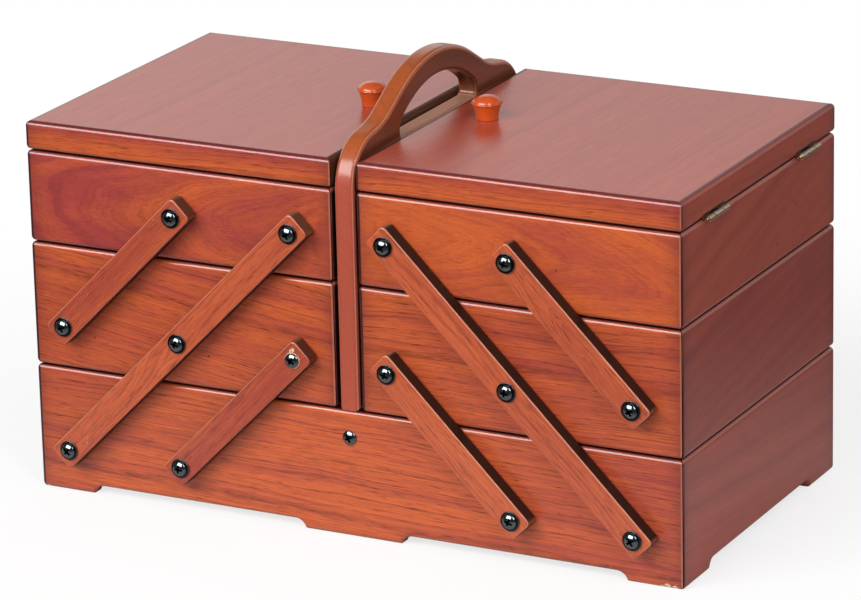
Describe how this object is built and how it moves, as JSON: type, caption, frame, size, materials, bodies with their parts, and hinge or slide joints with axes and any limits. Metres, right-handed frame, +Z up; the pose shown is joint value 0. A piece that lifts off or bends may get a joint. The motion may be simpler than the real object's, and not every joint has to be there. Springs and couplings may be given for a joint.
{
  "type": "cantilever sewing box",
  "caption": "Wooden sewing box on a footed base, with stacked trays that swing out to both sides on links, hinged lids with knobs, and a central handle board.",
  "frame": {"origin": "centre of the closed box's footprint, on the floor", "axes": "+X along the box to the right seen from the front, +Y from front to back, +Z up"},
  "size_m": [0.4278, 0.2458, 0.2655],
  "materials": {
    "red_lacquered_wood": "satin-gloss lacquer over reddish stain",
    "dark_lacquered_wood": "satin-gloss lacquer over dark red stain",
    "link_wood": "satin lacquer over reddish stain",
    "handle_wood": "satin lacquer over brown stain",
    "plywood": "matt, sanded",
    "black_steel": "gloss black",
    "antique_brass": "dulled",
    "orange_lacquered_wood": "gloss lacquer"
  },
  "bodies": {
    "base": {"base_front_panel": "red_lacquered_wood", "base_back_panel": "red_lacquered_wood", "base_left_end": "dark_lacquered_wood", "base_right_end": "dark_lacquered_wood", "base_bottom": "plywood", "base_pivot_screws": "black_steel", "handle_board": "handle_wood", "handle_screws": "black_steel"},
    "left_long_link_front": {"left_long_link_front": "link_wood"},
    "left_long_link_back": {"left_long_link_back": "link_wood"},
    "left_lower_link_front": {"left_lower_link_front": "link_wood"},
    "left_lower_link_back": {"left_lower_link_back": "link_wood"},
    "left_upper_link_front": {"left_upper_link_front": "link_wood"},
    "left_upper_link_back": {"left_upper_link_back": "link_wood"},
    "left_middle_tray": {"left_middle_tray_front": "red_lacquered_wood", "left_middle_tray_back": "red_lacquered_wood", "left_middle_tray_outer_end": "dark_lacquered_wood", "left_middle_tray_inner_end": "dark_lacquered_wood", "left_middle_tray_bottom": "plywood", "left_middle_tray_screws": "black_steel"},
    "left_top_tray": {"left_top_tray_front": "red_lacquered_wood", "left_top_tray_back": "red_lacquered_wood", "left_top_tray_outer_end": "dark_lacquered_wood", "left_top_tray_inner_end": "dark_lacquered_wood", "left_top_tray_bottom": "plywood", "left_top_tray_screws": "black_steel", "left_top_tray_hinge_leaves": "antique_brass", "left_hinge_pins": "antique_brass"},
    "left_lid": {"left_lid_frame": "red_lacquered_wood", "left_lid_panel": "dark_lacquered_wood", "left_lid_hinge_leaves": "antique_brass", "left_lid_screws": "antique_brass", "left_knob": "orange_lacquered_wood"},
    "right_long_link_front": {"right_long_link_front": "link_wood"},
    "right_long_link_back": {"right_long_link_back": "link_wood"},
    "right_lower_link_front": {"right_lower_link_front": "link_wood"},
    "right_lower_link_back": {"right_lower_link_back": "link_wood"},
    "right_upper_link_front": {"right_upper_link_front": "link_wood"},
    "right_upper_link_back": {"right_upper_link_back": "link_wood"},
    "right_middle_tray": {"right_middle_tray_front": "red_lacquered_wood", "right_middle_tray_back": "red_lacquered_wood", "right_middle_tray_outer_end": "dark_lacquered_wood", "right_middle_tray_inner_end": "dark_lacquered_wood", "right_middle_tray_bottom": "plywood", "right_middle_tray_screws": "black_steel"},
    "right_top_tray": {"right_top_tray_front": "red_lacquered_wood", "right_top_tray_back": "red_lacquered_wood", "right_top_tray_outer_end": "dark_lacquered_wood", "right_top_tray_inner_end": "dark_lacquered_wood", "right_top_tray_bottom": "plywood", "right_top_tray_screws": "black_steel", "right_top_tray_hinge_leaves": "antique_brass", "right_hinge_pins": "antique_brass"},
    "right_lid": {"right_lid_frame": "red_lacquered_wood", "right_lid_panel": "dark_lacquered_wood", "right_lid_hinge_leaves": "antique_brass", "right_lid_screws": "antique_brass", "right_knob": "orange_lacquered_wood"}
  },
  "joints": [
    {"name": "left_swing", "type": "hinge", "parent": "base", "child": "left_long_link_front", "pos_m": [-0.1834, -0.1141, 0.03], "axis": [0, -1, 0], "range_deg": [0, 89.9]},
    {"name": "left_long_link_back_turn", "type": "hinge", "parent": "base", "child": "left_long_link_back", "pos_m": [-0.1834, 0.1141, 0.03], "axis": [0, -1, 0], "range_deg": [0, 90]},
    {"name": "left_lower_link_front_turn", "type": "hinge", "parent": "base", "child": "left_lower_link_front", "pos_m": [-0.10745, -0.1141, 0.03], "axis": [0, -1, 0], "range_deg": [0, 90]},
    {"name": "left_lower_link_back_turn", "type": "hinge", "parent": "base", "child": "left_lower_link_back", "pos_m": [-0.10745, 0.1141, 0.03], "axis": [0, -1, 0], "range_deg": [0, 90]},
    {"name": "left_middle_tray_turn", "type": "hinge", "parent": "left_long_link_front", "child": "left_middle_tray", "pos_m": [-0.10645, 0, 0.107], "axis": [0, -1, 0], "range_deg": [-90, 0]},
    {"name": "left_top_tray_turn", "type": "hinge", "parent": "left_long_link_front", "child": "left_top_tray", "pos_m": [-0.0305, 0, 0.183], "axis": [0, -1, 0], "range_deg": [-90, 0]},
    {"name": "left_upper_link_front_turn", "type": "hinge", "parent": "left_middle_tray", "child": "left_upper_link_front", "pos_m": [-0.1834, -0.1141, 0.107], "axis": [0, -1, 0], "range_deg": [0, 90]},
    {"name": "left_upper_link_back_turn", "type": "hinge", "parent": "left_middle_tray", "child": "left_upper_link_back", "pos_m": [-0.1834, 0.1141, 0.107], "axis": [0, -1, 0], "range_deg": [0, 90]},
    {"name": "left_lid_hinge", "type": "hinge", "parent": "left_top_tray", "child": "left_lid", "pos_m": [-0.2121, 0, 0.2096], "axis": [0, -1, 0], "range_deg": [0, 185]},
    {"name": "right_swing", "type": "hinge", "parent": "base", "child": "right_long_link_front", "pos_m": [0.1834, -0.1141, 0.03], "axis": [0, 1, 0], "range_deg": [0, 89.9]},
    {"name": "right_long_link_back_turn", "type": "hinge", "parent": "base", "child": "right_long_link_back", "pos_m": [0.1834, 0.1141, 0.03], "axis": [0, 1, 0], "range_deg": [0, 90]},
    {"name": "right_lower_link_front_turn", "type": "hinge", "parent": "base", "child": "right_lower_link_front", "pos_m": [0.10745, -0.1141, 0.03], "axis": [0, 1, 0], "range_deg": [0, 90]},
    {"name": "right_lower_link_back_turn", "type": "hinge", "parent": "base", "child": "right_lower_link_back", "pos_m": [0.10745, 0.1141, 0.03], "axis": [0, 1, 0], "range_deg": [0, 90]},
    {"name": "right_middle_tray_turn", "type": "hinge", "parent": "right_long_link_front", "child": "right_middle_tray", "pos_m": [0.10645, 0, 0.107], "axis": [0, 1, 0], "range_deg": [-90, 0]},
    {"name": "right_top_tray_turn", "type": "hinge", "parent": "right_long_link_front", "child": "right_top_tray", "pos_m": [0.0305, 0, 0.183], "axis": [0, 1, 0], "range_deg": [-90, 0]},
    {"name": "right_upper_link_front_turn", "type": "hinge", "parent": "right_middle_tray", "child": "right_upper_link_front", "pos_m": [0.1834, -0.1141, 0.107], "axis": [0, 1, 0], "range_deg": [0, 90]},
    {"name": "right_upper_link_back_turn", "type": "hinge", "parent": "right_middle_tray", "child": "right_upper_link_back", "pos_m": [0.1834, 0.1141, 0.107], "axis": [0, 1, 0], "range_deg": [0, 90]},
    {"name": "right_lid_hinge", "type": "hinge", "parent": "right_top_tray", "child": "right_lid", "pos_m": [0.2121, 0, 0.2096], "axis": [0, 1, 0], "range_deg": [0, 185]}
  ],
  "couplings": [
    {"joint": "left_long_link_back_turn", "follows": "left_swing", "ratio": 1},
    {"joint": "left_lower_link_front_turn", "follows": "left_swing", "ratio": 1},
    {"joint": "left_lower_link_back_turn", "follows": "left_swing", "ratio": 1},
    {"joint": "left_middle_tray_turn", "follows": "left_swing", "ratio": -1},
    {"joint": "left_top_tray_turn", "follows": "left_swing", "ratio": -1},
    {"joint": "left_upper_link_front_turn", "follows": "left_swing", "ratio": 1},
    {"joint": "left_upper_link_back_turn", "follows": "left_swing", "ratio": 1},
    {"joint": "right_long_link_back_turn", "follows": "right_swing", "ratio": 1},
    {"joint": "right_lower_link_front_turn", "follows": "right_swing", "ratio": 1},
    {"joint": "right_lower_link_back_turn", "follows": "right_swing", "ratio": 1},
    {"joint": "right_middle_tray_turn", "follows": "right_swing", "ratio": -1},
    {"joint": "right_top_tray_turn", "follows": "right_swing", "ratio": -1},
    {"joint": "right_upper_link_front_turn", "follows": "right_swing", "ratio": 1},
    {"joint": "right_upper_link_back_turn", "follows": "right_swing", "ratio": 1}
  ]
}
